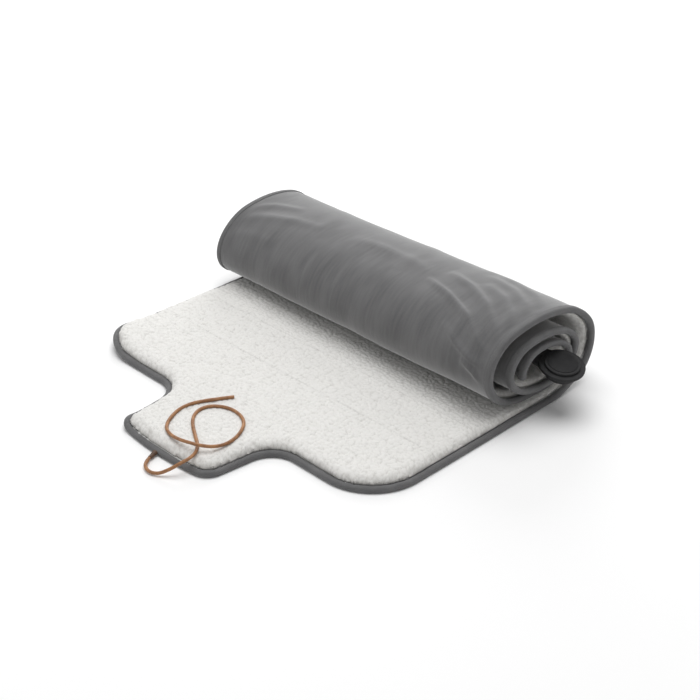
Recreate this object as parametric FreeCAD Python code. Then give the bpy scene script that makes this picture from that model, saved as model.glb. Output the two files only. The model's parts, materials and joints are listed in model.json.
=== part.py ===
import FreeCAD, Part

import math
import os

V = FreeCAD.Vector

# A roll-up heated blanket, in millimetres. +X runs along the roll, -Y points to the flat end with its
# tab, +Z is up, and the origin is on the resting face under the middle of the roll.

# The mat, seen from above
WIDTH = 500.0
ROLL_START_Y = -35.0  # the roll's own floor run starts here
FRONT_Y = -243.0
CORNER_R = 70.0
TAB_CENTRE_X = 9.0
TAB_LENGTH = 97.0
TAB_SIDE_LEAN = 84.0  # degrees from the front edge
TAB_CORNER_R = 24.0
TAB_NOTCH_R = 32.0
TAB_END_R = 438.0
TAB_END_HALF_ANGLE = 8.0

# The layers, as heights above the outer face
COVER = (0.0, 1.2)
WADDING = (1.4, 5.6)
FILM = (5.8, 6.4)
BUS_BARS = (6.5, 6.7)
BACKING = (6.8, 7.8)
PILE_TOP_FLAT = 15.0
PILE_TOP_ROLLED = 12.5
TAPE = 1.0
TAPE_WIDTH = 11.0
TAPE_TOP = 9.4
COVER_INSET = 11.2
INNER_INSET = 1.2
FILM_INSET = 20.0
BUS_BAR_X = 215.0
BUS_BAR_WIDTH = 8.0

# Where the flat end folds when it is rolled up, and the gap left at each fold
FOLDS_Y = (-35.0, -100.0, -170.0)
FOLD_GAP = 0.4
FLAT_BODIES = ("inner_panel", "middle_panel", "front_panel")

# The roll: the mat's edge drifts sideways by SKEW over its first turn
SKEW = 25.0
SKEW_STEPS = 10
HEM_ANGLE = 23.0

# Tongue, pod and inlet
ANCHOR_X = (190.0, 225.0)
ANCHOR_Y = (27.0, 61.0)
ANCHOR_Z = (63.6, 65.8)
TONGUE_START_X = 226.4
TONGUE_WIDTH = 34.0
POD_CENTRE = V(262.0, 54.0, 58.5)
POD_TILT = 12.0
POD_TILT_AZIMUTH = -22.0
FLANGE_R = 27.0
FLANGE_T = 1.8
CUP_R = 20.0
CUP_WALL = 1.5
CUP_BOTTOM = -12.0
CUP_FLOOR = 1.2
RING_R = 21.2
BUTTON_R = 17.5
BUTTON_HOLE_R = 17.8
BUTTON_FLANGE_R = 19.0
BUTTON_POCKET_R = 19.5
LIP = (3.6, 5.0)
BUTTON_FLANGE = (2.2, 3.2)
BUTTON_EDGE_TOP = 5.4
BUTTON_CROWN = 1.5
SEAL_R = (20.3, 21.3)
SCREW_CIRCLE_R = 24.2
SCREW_COUNT = 4
SCREW_R = 0.8
SCREW_HEAD_R = 1.5
BOARD_R = 17.6
BOARD = (-4.6, -3.4)
SWITCH_SIDE = 6.0
SWITCH = (-3.3, -0.6)
PLUNGER_R = 1.6
INLET_BORE_R = 2.75
INLET_OUTER_R = 3.6
INLET_DEPTH = -7.0
INLET_LENGTH = 9.4
INLET_MOUTH = 20.2
INLET_FLOOR = 1.2

# Small clearances, edge rounding and the pod's inner details
EASE = 0.1
PRESS_EASE = 0.05
CUP_EDGE_R = 2.5
FLANGE_EDGE_R = 0.8
RIM_EDGE_R = 0.9
RING_EDGE_R = 1.0
TOP_START = 0.2
POST_R = 1.6
POST_CIRCLE_R = 14.0
POST_COUNT = 3
SEAL = (-0.7, 0.8)
SEAL_GROOVE = (-0.8, 0.9)
SCREW_HEAD = 0.9
SCREW_SHANK = (-1.2, 1.4)
BUTTON_STUD_R = 2.4
BUTTON_STUD_END = 0.9
PLUNGER = (0.4, 0.8)
MAIN_CHIP = ((7, 13), (-9, -3), 1.1)
TRANSISTOR_STARTS_X = (-8.0, -1.0)
TRANSISTOR_SIDE = 5.0
TRANSISTOR_Y = (-13, -8)
TRANSISTOR_HEIGHT = 1.5
PIN_R = 0.5
PIN_LENGTH = 3.0
PIN_PLACES_X = (-1.5, 1.5)

# The tie cord and its root
CORD_R = 2.0
SLEEVE_START = V(8.0, -340.9, 3.4)
SLEEVE_ROOT_R = 3.2
SLEEVE_TIP_R = 2.2
CORD_ROUTE = [
    (11.5, -350.3, 3.3), (14.3, -357.8, 3.2), (22.5, -364.6, 2.7), (33, -366.5, 2.4), (43, -362, 3.4),
    (51, -353.5, 8.5), (57.5, -344, 14.8), (60.5, -332, 17.8),
    (56.5, -320.5, 17.7), (47, -310, 17.6), (33, -301.5, 17.6), (14.5, -290.5, 17.5), (0, -279.5, 17.5),
    (-8.5, -267, 17.5), (-9.5, -253, 17.5), (0.5, -240.5, 17.5), (16, -234.5, 17.5), (34, -236, 17.5),
    (49.5, -244.5, 17.5), (60, -259.5, 17.5), (66, -275, 17.5), (67.5, -290, 18.5), (64.5, -304, 21),
    (55.5, -315, 24.2), (42, -320, 24.2), (26, -320.5, 21), (10, -318.5, 18), (-4, -314, 17.6),
    (-14.5, -303.5, 17.5), (-22.5, -289, 17.5), (-27, -274.5, 17.5), (-26, -259.5, 17.5),
    (-19.5, -244.5, 17.5), (-10.5, -229, 17.5), (-2.5, -215.5, 17.5),
]


def run(length):
    return ("run", length, 0.0)


def bend(radius, degrees):
    return ("bend", radius, degrees)


# The roll's outer face, from the floor to the free end in the core: about two and three quarter turns
ROLL_SECTION = [
    run(92), bend(97, 35), bend(49, 55), bend(38, 40), bend(78, 35), bend(149, 30), bend(51, 45),
    bend(42, 50), bend(49, 40), bend(71, 30),
    run(18), bend(60, 40), bend(38, 50), bend(32, 40), bend(56, 35), bend(102, 30), bend(40, 45),
    bend(28, 50), bend(35, 40), bend(60, 30),
    run(17), bend(40, 45), bend(22, 55), bend(25, 45), bend(63, 45), bend(31, 45), bend(27, 18),
]


def flat_outline():
    """The mat's edge from the left fold line round the tab to the right one, turning left."""
    lean = math.radians(TAB_SIDE_LEAN)
    bow = math.radians(TAB_END_HALF_ANGLE)
    bow_rise = TAB_END_R * (1 - math.cos(bow))
    corner_rise = TAB_CORNER_R * (math.cos(bow) - math.cos(lean))
    notch_rise = TAB_NOTCH_R * (1 - math.cos(lean))
    side = (TAB_LENGTH - bow_rise - corner_rise - notch_rise) / math.sin(lean)
    half_tab = TAB_END_R * math.sin(bow) + TAB_CORNER_R * (math.sin(lean) - math.sin(bow))
    half_tab += side * math.cos(lean) + TAB_NOTCH_R * math.sin(lean)
    straight = WIDTH / 2 - CORNER_R - half_tab
    down = ROLL_START_Y + 5 - (FRONT_Y + CORNER_R)
    turn = TAB_SIDE_LEAN - TAB_END_HALF_ANGLE
    return [
        run(down), bend(CORNER_R, 90), run(straight + TAB_CENTRE_X),
        bend(TAB_NOTCH_R, -TAB_SIDE_LEAN), run(side), bend(TAB_CORNER_R, turn),
        bend(TAB_END_R, 2 * TAB_END_HALF_ANGLE),
        bend(TAB_CORNER_R, turn), run(side), bend(TAB_NOTCH_R, -TAB_SIDE_LEAN),
        run(straight - TAB_CENTRE_X), bend(CORNER_R, 90), run(down),
    ]


def walk(steps, start, heading):
    """Give each step its start point and heading, each tangent to the one before."""
    a, b = start
    angle = math.radians(heading)
    walked = []
    for kind, size, degrees in steps:
        walked.append((kind, size, math.radians(degrees), a, b, angle))
        if kind == "run":
            a += size * math.cos(angle)
            b += size * math.sin(angle)
        else:
            side = math.copysign(size, degrees)
            centre_a = a - side * math.sin(angle)
            centre_b = b + side * math.cos(angle)
            angle += math.radians(degrees)
            a = centre_a + side * math.sin(angle)
            b = centre_b - side * math.cos(angle)
    return walked


def offset_points(step, offset):
    """Start, middle and end of one step, moved to the left of the path by offset."""
    kind, size, turn, a, b, angle = step
    points = []
    for part in (0.0, 0.5, 1.0):
        if kind == "run":
            along = size * part
            points.append((a + along * math.cos(angle) - offset * math.sin(angle),
                           b + along * math.sin(angle) + offset * math.cos(angle)))
        else:
            side = math.copysign(size, turn)
            here = angle + turn * part
            points.append((a - side * math.sin(angle) + (side - offset) * math.sin(here),
                           b + side * math.cos(angle) - (side - offset) * math.cos(here)))
    return points


def offset_edge(step, offset, place):
    first, middle, last = [place(*point) for point in offset_points(step, offset)]
    if step[0] == "run":
        return Part.LineSegment(first, last).toShape()
    return Part.Arc(first, middle, last).toShape()


def ribbon(step, low, high, x0, x1):
    """The layer between two heights over one step of the roll, from x0 to x1."""
    def place(y, z):
        return V(x0, y, z)
    inner = offset_points(step, high)
    outer = offset_points(step, low)
    ends = [Part.LineSegment(place(*outer[i]), place(*inner[i])).toShape() for i in (0, 2)]
    edges = [offset_edge(step, low, place), offset_edge(step, high, place)] + ends
    face = Part.Face(Part.Wire(Part.__sortEdges__(edges)))
    return face.extrude(V(x1 - x0, 0, 0))


def joined(solids):
    whole = solids[0].multiFuse(solids[1:]) if len(solids) > 1 else solids[0]
    return whole.removeSplitter()


def box(x, y, z):
    """A block from three (low, high) pairs."""
    return Part.makeBox(x[1] - x[0], y[1] - y[0], z[1] - z[0], V(x[0], y[0], z[0]))


# ---- the rolled part ----

ROLL = walk(ROLL_SECTION, (ROLL_START_Y, 0.0), 0.0)
HEM = walk(ROLL_SECTION + [bend(27, HEM_ANGLE)], (ROLL_START_Y, 0.0), 0.0)[-1]


def edge_shift(index):
    return -SKEW * min(index, SKEW_STEPS) / SKEW_STEPS


def rolled_layer(low, high, inset_left, inset_right, steps=None):
    """One layer wound through every step; each step is shifted to follow the drifting edge."""
    pieces = []
    for index, step in enumerate(ROLL + [HEM] if steps is None else steps):
        shift = edge_shift(index)
        x0 = -WIDTH / 2 + inset_left + shift
        x1 = WIDTH / 2 - inset_right + shift
        pieces.append(ribbon(step, low, high, x0, x1))
    return joined(pieces)


def rolled_strip(low, high, centre_x, width):
    half = WIDTH / 2
    return rolled_layer(low, high, half + centre_x - width / 2, half - centre_x - width / 2, ROLL)


def rolled_binding():
    """Tape folded round both side edges and the far end: two legs and a web."""
    legs = ((0.0, TAPE), (TAPE_TOP - TAPE, TAPE_TOP))
    pieces = []
    for low, high in legs:
        pieces.append(rolled_layer(low, high, 0, WIDTH - TAPE_WIDTH))
        pieces.append(rolled_layer(low, high, WIDTH - TAPE_WIDTH, 0))
        pieces.append(ribbon(HEM, low, high, -WIDTH / 2 - SKEW, WIDTH / 2 - SKEW))
    pieces.append(rolled_layer(0.0, TAPE_TOP, 0, WIDTH - TAPE))
    pieces.append(rolled_layer(0.0, TAPE_TOP, WIDTH - TAPE, 0))
    hem_start = walk([bend(27, HEM_ANGLE - 2.2), bend(27, 2.2)], HEM[3:5], math.degrees(HEM[5]))
    pieces.append(ribbon(hem_start[1], 0.0, TAPE_TOP, -WIDTH / 2 - SKEW, WIDTH / 2 - SKEW))
    return joined(pieces)


def rolled_pile():
    backing = rolled_layer(*BACKING, INNER_INSET, INNER_INSET, ROLL)
    pile = rolled_layer(BACKING[1], PILE_TOP_ROLLED, COVER_INSET, COVER_INSET, ROLL)
    return joined([backing, pile])


def roll_nodes():
    cutouts = [box((x - 10, x + 10), (-6, 2), (3.0, 5.7)) for x in (-90.0, 90.0)]
    wadding = rolled_layer(*WADDING, INNER_INSET, INNER_INSET, ROLL)
    for cutout in cutouts:
        b = cutout.BoundBox
        wadding = wadding.cut(box((b.XMin - 0.2, b.XMax + 0.2), (b.YMin - 0.2, b.YMax + 0.2), (2.8, 6)))
    bars = [rolled_strip(*BUS_BARS, side * BUS_BAR_X, BUS_BAR_WIDTH) for side in (-1, 1)]
    return {
        "rolled_cover": rolled_layer(*COVER, COVER_INSET, COVER_INSET, ROLL),
        "rolled_wadding": wadding,
        "rolled_heater_film": rolled_layer(*FILM, FILM_INSET, FILM_INSET, ROLL),
        "rolled_bus_bars": Part.makeCompound(bars),
        "rolled_pile": rolled_pile(),
        "rolled_binding": rolled_binding(),
        "thermal_cutouts": Part.makeCompound(cutouts),
    }


# ---- the flat part ----

OUTLINE = walk(flat_outline(), (-WIDTH / 2, ROLL_START_Y + 5), -90.0)


def flat_slab(inset, low, high):
    """The whole flat part, drawn in from its edge by inset, between two heights."""
    def place(x, y):
        return V(x, y, low)
    edges = [offset_edge(step, inset, place) for step in OUTLINE]
    first = place(*offset_points(OUTLINE[0], inset)[0])
    last = place(*offset_points(OUTLINE[-1], inset)[2])
    edges.append(Part.LineSegment(last, first).toShape())
    return Part.Face(Part.Wire(Part.__sortEdges__(edges))).extrude(V(0, 0, high - low))


def between_folds(shape, index):
    """The part of a flat shape that belongs to one panel."""
    high = FOLDS_Y[index] - FOLD_GAP
    low = FOLDS_Y[index + 1] if index + 1 < len(FOLDS_Y) else FRONT_Y - TAB_LENGTH - 20
    return shape.common(box((-WIDTH, WIDTH), (low, high), (-1, 40)))


def flat_binding():
    legs = []
    for low, high in ((0.0, TAPE), (TAPE_TOP - TAPE, TAPE_TOP)):
        legs.append(flat_slab(0, low, high).cut(flat_slab(TAPE_WIDTH, low, high)))
    web = flat_slab(0, 0.0, TAPE_TOP).cut(flat_slab(TAPE, 0.0, TAPE_TOP))
    return joined(legs + [web])


def flat_nodes():
    heated = box((-WIDTH, WIDTH), (FRONT_Y + FILM_INSET, 0), (0, 40))
    backing = flat_slab(INNER_INSET, *BACKING)
    pile = flat_slab(COVER_INSET, BACKING[1], PILE_TOP_FLAT)
    layers = {
        "cover": flat_slab(COVER_INSET, *COVER),
        "wadding": flat_slab(INNER_INSET, *WADDING),
        "heater_film": flat_slab(FILM_INSET, *FILM).common(heated),
        "pile": joined([backing, pile]),
        "binding": flat_binding(),
    }
    sensor = box((-6, 6), (-70, -64), (3.6, 5.7))
    pocket = box((-6.2, 6.2), (-70.2, -63.8), (3.4, 6))
    layers["wadding"] = layers["wadding"].cut(pocket)
    bars = Part.makeCompound([
        box((side * BUS_BAR_X - BUS_BAR_WIDTH / 2, side * BUS_BAR_X + BUS_BAR_WIDTH / 2),
            (FRONT_Y + CORNER_R - 20, 0), BUS_BARS) for side in (-1, 1)])
    layers["bus_bars"] = bars
    nodes = {"temperature_sensor": sensor}
    for index, body in enumerate(FLAT_BODIES):
        for layer, shape in layers.items():
            nodes[body + "_" + layer] = between_folds(shape, index)
    return nodes


# ---- the pod, built flat about its own centre and then tilted into place ----

def disc(radius, low, high):
    return Part.makeCylinder(radius, high - low, V(0, 0, low))


def ring(outer, inner, low, high):
    return disc(outer, low, high).cut(disc(inner, low - 1, high + 1))


def screw_places():
    for i in range(SCREW_COUNT):
        angle = math.radians(360 * i / SCREW_COUNT + 45)
        yield V(SCREW_CIRCLE_R * math.cos(angle), SCREW_CIRCLE_R * math.sin(angle), 0)


def rounded(shape, radius, chosen):
    """Round the circular edges that the test picks."""
    edges = [edge for edge in shape.Edges if chosen(edge)]
    return shape.makeFillet(radius, edges)


def circle_at(radius, height):
    def chosen(edge):
        curve = edge.Curve
        if not isinstance(curve, Part.Circle):
            return False
        return abs(curve.Radius - radius) < 0.01 and abs(curve.Center.z - height) < 0.01
    return chosen


def pod_base():
    body = disc(FLANGE_R, -FLANGE_T, 0).fuse(disc(CUP_R, CUP_BOTTOM, -FLANGE_T)).removeSplitter()
    body = rounded(body, CUP_EDGE_R, circle_at(CUP_R, CUP_BOTTOM))
    body = rounded(body, FLANGE_EDGE_R, circle_at(FLANGE_R, -FLANGE_T))
    body = body.cut(disc(CUP_R - CUP_WALL, CUP_BOTTOM + CUP_FLOOR, 1))
    post_foot = CUP_BOTTOM + CUP_FLOOR / 3
    for i in range(POST_COUNT):
        angle = math.radians(360 / POST_COUNT * i + 30)
        place = V(POST_CIRCLE_R * math.cos(angle), POST_CIRCLE_R * math.sin(angle), post_foot)
        body = body.fuse(Part.makeCylinder(POST_R, BOARD[0] - post_foot, place))
    body = body.cut(ring(SEAL_R[1] + EASE, SEAL_R[0] - EASE, SEAL_GROOVE[0], 0.5))
    for place in screw_places():
        body = body.cut(Part.makeCylinder(SCREW_R + PRESS_EASE, 3, place + V(0, 0, -2.5)))
        body = body.cut(Part.makeCylinder(SCREW_HEAD_R + EASE, 1.4, place + V(0, 0, -2.2)))
    hole = Part.makeCylinder(INLET_OUTER_R + PRESS_EASE, 12, V(0, 12, INLET_DEPTH), V(0, 1, 0))
    return body.cut(hole)


def pod_top():
    rim_top = FLANGE_T + TOP_START
    body = disc(FLANGE_R, TOP_START, rim_top).fuse(disc(RING_R, rim_top, LIP[1]))
    body = body.removeSplitter()
    body = rounded(body, RIM_EDGE_R, circle_at(FLANGE_R, rim_top))
    body = rounded(body, RING_EDGE_R, circle_at(RING_R, LIP[1]))
    body = body.cut(disc(BUTTON_POCKET_R, 0, LIP[0]))
    body = body.cut(disc(BUTTON_HOLE_R, 0, LIP[1] + 1))
    body = body.cut(ring(SEAL_R[1] + EASE, SEAL_R[0] - EASE, 0, SEAL_GROOVE[1]))
    for place in screw_places():
        body = body.cut(Part.makeCylinder(SCREW_R + PRESS_EASE, 1.6, place))
    return body


def power_button():
    body = disc(BUTTON_R, BUTTON_FLANGE[0], BUTTON_EDGE_TOP)
    sphere_r = (BUTTON_R ** 2 + BUTTON_CROWN ** 2) / (2 * BUTTON_CROWN)
    crown = Part.makeSphere(sphere_r, V(0, 0, BUTTON_EDGE_TOP + BUTTON_CROWN - sphere_r))
    body = body.fuse(crown.common(disc(BUTTON_R, BUTTON_EDGE_TOP, BUTTON_EDGE_TOP + 3)))
    body = body.fuse(disc(BUTTON_FLANGE_R, *BUTTON_FLANGE)).removeSplitter()
    return body.fuse(disc(BUTTON_STUD_R, BUTTON_STUD_END, BUTTON_FLANGE[0])).removeSplitter()


def circuit_board():
    notch = box((-INLET_OUTER_R - 0.4, INLET_OUTER_R + 0.4), (8.4, 20), (-6, 0))
    return disc(BOARD_R, *BOARD).cut(notch)


def inlet_socket():
    start = INLET_MOUTH - INLET_LENGTH
    tube = Part.makeCylinder(INLET_OUTER_R, INLET_LENGTH, V(0, start, INLET_DEPTH), V(0, 1, 0))
    bore = Part.makeCylinder(INLET_BORE_R, INLET_LENGTH, V(0, start + INLET_FLOOR, INLET_DEPTH), V(0, 1, 0))
    return tube.cut(bore)


def inlet_contacts():
    """Two contact pins that leave the socket's closed end, inside the cup."""
    start = INLET_MOUTH - INLET_LENGTH - EASE
    pins = [Part.makeCylinder(PIN_R, PIN_LENGTH, V(x, start, INLET_DEPTH), V(0, -1, 0)) for x in PIN_PLACES_X]
    return Part.makeCompound(pins)


def pod_nodes():
    seal = ring(SEAL_R[1], SEAL_R[0], *SEAL)
    screws = []
    for place in screw_places():
        shank = Part.makeCylinder(SCREW_R, SCREW_SHANK[1] - SCREW_SHANK[0], place + V(0, 0, SCREW_SHANK[0]))
        head = Part.makeCylinder(SCREW_HEAD_R, SCREW_HEAD, place + V(0, 0, -FLANGE_T))
        screws.append(shank.fuse(head).removeSplitter())
    half = SWITCH_SIDE / 2
    chip_foot = BOARD[1] + EASE
    chip_x, chip_y, chip_height = MAIN_CHIP
    transistors = [box((x, x + TRANSISTOR_SIDE), TRANSISTOR_Y, (chip_foot, chip_foot + TRANSISTOR_HEIGHT))
                   for x in TRANSISTOR_STARTS_X]
    return {
        "pod_base": pod_base(),
        "pod_top": pod_top(),
        "pod_seal": seal,
        "pod_screws": Part.makeCompound(screws),
        "power_button": power_button(),
        "circuit_board": circuit_board(),
        "tact_switch": box((-half, half), (-half, half), SWITCH),
        "switch_plunger": disc(PLUNGER_R, *PLUNGER),
        "main_chip": box(chip_x, chip_y, (chip_foot, chip_foot + chip_height)),
        "power_transistors": Part.makeCompound(transistors),
        "inlet_socket": inlet_socket(),
        "inlet_contacts": inlet_contacts(),
    }


def pod_axes():
    tilt = math.radians(POD_TILT)
    azimuth = math.radians(POD_TILT_AZIMUTH)
    up = V(math.sin(tilt) * math.cos(azimuth), math.sin(tilt) * math.sin(azimuth), math.cos(tilt))
    out = V(1, 0, 0) - up * up.x
    out.normalize()
    return out, up.cross(out), up


def placed_on_pod(shape):
    out, along, up = pod_axes()
    c = POD_CENTRE
    matrix = FreeCAD.Matrix(out.x, along.x, up.x, c.x, out.y, along.y, up.y, c.y,
                            out.z, along.z, up.z, c.z, 0, 0, 0, 1)
    moved = shape.copy()
    moved.Placement = FreeCAD.Placement(matrix)
    return moved


def rectangle(centre, half_width, half_height):
    corners = [centre + half_width * i + half_height * j for i, j in ((-1, -1), (1, -1), (1, 1), (-1, 1))]
    return Part.makePolygon(corners + corners[:1])


def tongue():
    """A strap that twists from the flat anchor to the tilted pod, and ends in a ring round its cup."""
    out, along, up = pod_axes()
    half_t = (ANCHOR_Z[1] - ANCHOR_Z[0]) / 2
    start = V(TONGUE_START_X, sum(ANCHOR_Y) / 2, sum(ANCHOR_Z) / 2)
    under = -FLANGE_T - 0.1 - half_t
    near = POD_CENTRE + up * under - out * 23.5
    far = POD_CENTRE + up * under - out * 21.0
    first = rectangle(start, V(0, TONGUE_WIDTH / 2, 0), V(0, 0, half_t))
    second = rectangle(near, along * (TONGUE_WIDTH / 2), up * half_t)
    strap = Part.makeLoft([first, second], True, True)
    root = Part.makeLoft([second, rectangle(far, along * (TONGUE_WIDTH / 2 - 4), up * half_t)], True, True)
    collar = placed_on_pod(ring(FLANGE_R - 0.8, CUP_R + 0.3, under - half_t, under + half_t))
    clear = placed_on_pod(disc(CUP_R + 0.3, CUP_BOTTOM - 2, 2))
    whole = strap.fuse(root).fuse(collar).cut(clear)
    return whole.cut(placed_on_pod(disc(FLANGE_R + 20, -FLANGE_T - 0.05, 10))).removeSplitter()


# ---- the tie cord ----

def cord_tube(points, radius):
    """Straight runs joined by arcs, each as large as its two runs allow."""
    points = [V(*point) for point in points]
    edges = []
    here = points[0]
    length = 0.0
    for before, corner, after in zip(points, points[1:], points[2:]):
        back = before - corner
        ahead = after - corner
        reach = 0.45 * min(back.Length, ahead.Length)
        back.normalize()
        ahead.normalize()
        turn = math.pi - back.getAngle(ahead)
        bend_radius = reach / math.tan(turn / 2)
        start = corner + back * reach
        end = corner + ahead * reach
        bisector = back + ahead
        bisector.normalize()
        middle = corner + bisector * (bend_radius / math.cos(turn / 2) - bend_radius)
        edges.append(Part.LineSegment(here, start).toShape())
        edges.append(Part.Arc(start, middle, end).toShape())
        length += (start - here).Length + bend_radius * turn
        print("cord turn %5.1f deg, radius %5.1f mm" % (math.degrees(turn), bend_radius))
        here = end
    edges.append(Part.LineSegment(here, points[-1]).toShape())
    length += (points[-1] - here).Length
    path = Part.Wire(edges)
    circle = Part.Circle(points[0], points[1] - points[0], radius)
    tube = path.makePipeShell([Part.Wire(circle.toShape())], True, False)
    print("cord length %.1f mm, volume ratio %.4f" % (length, tube.Volume / (math.pi * radius ** 2 * length)))
    return tube


def cord_nodes():
    tip = V(*CORD_ROUTE[0])
    axis = tip - SLEEVE_START
    sleeve = Part.makeCone(SLEEVE_ROOT_R, SLEEVE_TIP_R, axis.Length, SLEEVE_START, axis)
    return {
        "tie_cord": cord_tube(CORD_ROUTE, CORD_R),
        "cord_sleeve": sleeve,
    }


def main():
    nodes = {}
    nodes.update(roll_nodes())
    nodes.update(flat_nodes())
    nodes.update({name: placed_on_pod(shape) for name, shape in pod_nodes().items()})
    nodes["tongue"] = tongue()
    nodes["tongue_anchor"] = box(ANCHOR_X, ANCHOR_Y, ANCHOR_Z)
    nodes["lead_ribbon"] = box(ANCHOR_X, (38, 50), (ANCHOR_Z[1] + 0.1, ANCHOR_Z[1] + 0.5))
    nodes.update(cord_nodes())
    os.makedirs("parts", exist_ok=True)
    for name, shape in nodes.items():
        if not shape.isValid() or shape.Volume <= 0:
            print("check", name, shape.isValid(), shape.Volume)
        shape.exportStep("parts/" + name + ".step")
    print(len(nodes), "nodes")


main()
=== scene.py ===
import json
import math

import bpy
import numpy as np
from mathutils import Matrix, Vector

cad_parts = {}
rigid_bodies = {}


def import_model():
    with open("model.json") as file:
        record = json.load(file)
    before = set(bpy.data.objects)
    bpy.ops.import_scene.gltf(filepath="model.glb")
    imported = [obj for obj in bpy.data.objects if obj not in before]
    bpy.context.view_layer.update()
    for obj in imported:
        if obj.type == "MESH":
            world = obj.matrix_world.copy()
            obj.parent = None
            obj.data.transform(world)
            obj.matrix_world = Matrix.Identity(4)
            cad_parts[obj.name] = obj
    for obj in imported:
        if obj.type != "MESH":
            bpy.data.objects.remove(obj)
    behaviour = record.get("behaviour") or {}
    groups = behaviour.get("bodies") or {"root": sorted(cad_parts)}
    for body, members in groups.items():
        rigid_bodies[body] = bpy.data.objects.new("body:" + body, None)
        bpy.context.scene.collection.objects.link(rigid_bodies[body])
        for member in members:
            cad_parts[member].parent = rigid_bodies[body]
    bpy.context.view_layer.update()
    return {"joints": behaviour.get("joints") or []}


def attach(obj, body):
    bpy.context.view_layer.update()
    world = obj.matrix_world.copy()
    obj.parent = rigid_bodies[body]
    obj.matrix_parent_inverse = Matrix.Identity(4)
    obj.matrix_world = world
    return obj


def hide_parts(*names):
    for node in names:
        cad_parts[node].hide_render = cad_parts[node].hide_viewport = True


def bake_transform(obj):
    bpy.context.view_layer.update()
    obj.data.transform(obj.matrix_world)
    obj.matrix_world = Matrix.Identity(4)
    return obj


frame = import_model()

MM = 0.001

# ---- the mat's own sizes, in millimetres, as the frame has them ----

WIDTH = 500.0
HALF = WIDTH / 2
ROLL_START_Y = -35.0
FRONT_Y = -243.0
CORNER_R = 70.0
TAB = {"centre": 9.0, "length": 97.0, "lean": 84.0, "corner": 24.0, "notch": 32.0, "end": 438.0, "bow": 8.0}
SKEW = 12.0
SKEW_RUN = (60.0, 470.0)
PILE_TOP = 15.0
PILE_ROLLED = 11.6
PILE_FOOT = 6.9
TAPE_PROUD = 0.9
RIM_START = 9.0
RIM_WIDTH = 14.0

# How the roll's section differs at its two ends:
# it is wound looser at the pod's end, and leans back at the far one
FAR_END = {"deep": 0.988, "tall": 0.985, "back": 4.7, "up": -1.7, "lean": 0.297}
POD_END = {"deep": 1.132, "tall": 1.098, "back": -4.4, "up": -0.8, "lean": -0.07}
ROLL_MIDDLE_Y = 57.0
ROLL_MIDDLE_Z = 60.0
FLOOR_LAYER = 13.0
# The inner turns sit back and low inside the outer one
INNER_TURNS = {"from": 440.0, "to": 610.0, "narrower": 0.955, "lower": 0.93, "back": 8.0, "middle": 38.5}
# The core sits a little further back again
CORE_RUN = (700.0, 830.0)
CORE_BACK = 4.0
# The inner turns come back nearly level with the edge from the outer turn's skew
SKEW_RETURN = 0.85
SKEW_RETURN_RUN = (500.0, 640.0)
# The edge also wanders in and out a little
WANDER = 1.6
WANDER_LENGTH = 47.0
# Where the flat part's corners lift off the floor: place, reach and height
LIFTS = [((-240.0, -236.0), 84.0, 10.0), ((-92.0, -352.0), 56.0, 9.0), ((92.0, -348.0), 34.0, 3.0)]

# The pieces of the flat part meet in the middle of the panels
FOLDS = [joint["pos_m"][1] / MM for joint in frame["joints"] if joint["name"].startswith("roll_up")]
FLAT_CHAIN = ("roll", "inner_panel", "middle_panel", "front_panel")
FLAT_SPLITS = (10.0, (FOLDS[0] + FOLDS[1]) / 2, (FOLDS[1] + FOLDS[2]) / 2, -360.0)
ROLL_PIECES_START = 45.0  # along the section, where the pieces that only ride on the roll begin


def run(length):
    return ("run", length, 0.0)


def bend(radius, degrees):
    return ("bend", radius, degrees)


ROLL_SECTION = [
    run(92), bend(97, 35), bend(49, 55), bend(38, 40), bend(78, 35), bend(149, 30), bend(51, 45),
    bend(42, 50), bend(49, 40), bend(71, 30),
    run(18), bend(60, 40), bend(38, 50), bend(32, 40), bend(56, 35), bend(102, 30), bend(40, 45),
    bend(28, 50), bend(35, 40), bend(60, 30),
    run(17), bend(40, 45), bend(22, 55), bend(25, 45), bend(63, 45), bend(31, 45), bend(27, 41),
]


def walk(steps, start, heading):
    """Each step with its start point, heading and distance along the path."""
    a, b = start
    angle = math.radians(heading)
    along = 0.0
    walked = []
    for kind, size, degrees in steps:
        turn = math.radians(degrees)
        length = size if kind == "run" else size * abs(turn)
        walked.append((kind, size, turn, a, b, angle, along, length))
        if kind == "run":
            a += size * math.cos(angle)
            b += size * math.sin(angle)
        else:
            side = math.copysign(size, degrees)
            a, b = (a - side * math.sin(angle) + side * math.sin(angle + turn),
                    b + side * math.cos(angle) - side * math.cos(angle + turn))
            angle += turn
        along += length
    return walked


def on_path(walked, s, offset):
    """Points at distance s along a walked path, moved to its left by offset (arrays)."""
    s = np.asarray(s, float)
    offset = np.broadcast_to(np.asarray(offset, float), s.shape)
    a_out = np.zeros(s.shape)
    b_out = np.zeros(s.shape)
    starts = np.array([step[6] for step in walked])
    index = np.clip(np.searchsorted(starts, s, side="right") - 1, 0, len(walked) - 1)
    for i, (kind, size, turn, a, b, angle, start, length) in enumerate(walked):
        here = index == i
        if not here.any():
            continue
        run_in = s[here] - start
        off = offset[here]
        if kind == "run":
            a_out[here] = a + run_in * math.cos(angle) - off * math.sin(angle)
            b_out[here] = b + run_in * math.sin(angle) + off * math.cos(angle)
        else:
            side = math.copysign(size, turn)
            now = angle + run_in / side
            a_out[here] = a - side * math.sin(angle) + (side - off) * np.sin(now)
            b_out[here] = b + side * math.cos(angle) - (side - off) * np.cos(now)
    return a_out, b_out


ROLL = walk(ROLL_SECTION, (ROLL_START_Y, 0.0), 0.0)
ROLL_LENGTH = ROLL[-1][6] + ROLL[-1][7]


def smooth(x, low, high):
    x = np.clip((np.asarray(x, float) - low) / (high - low), 0, 1)
    return x * x * (3 - 2 * x)


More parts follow.
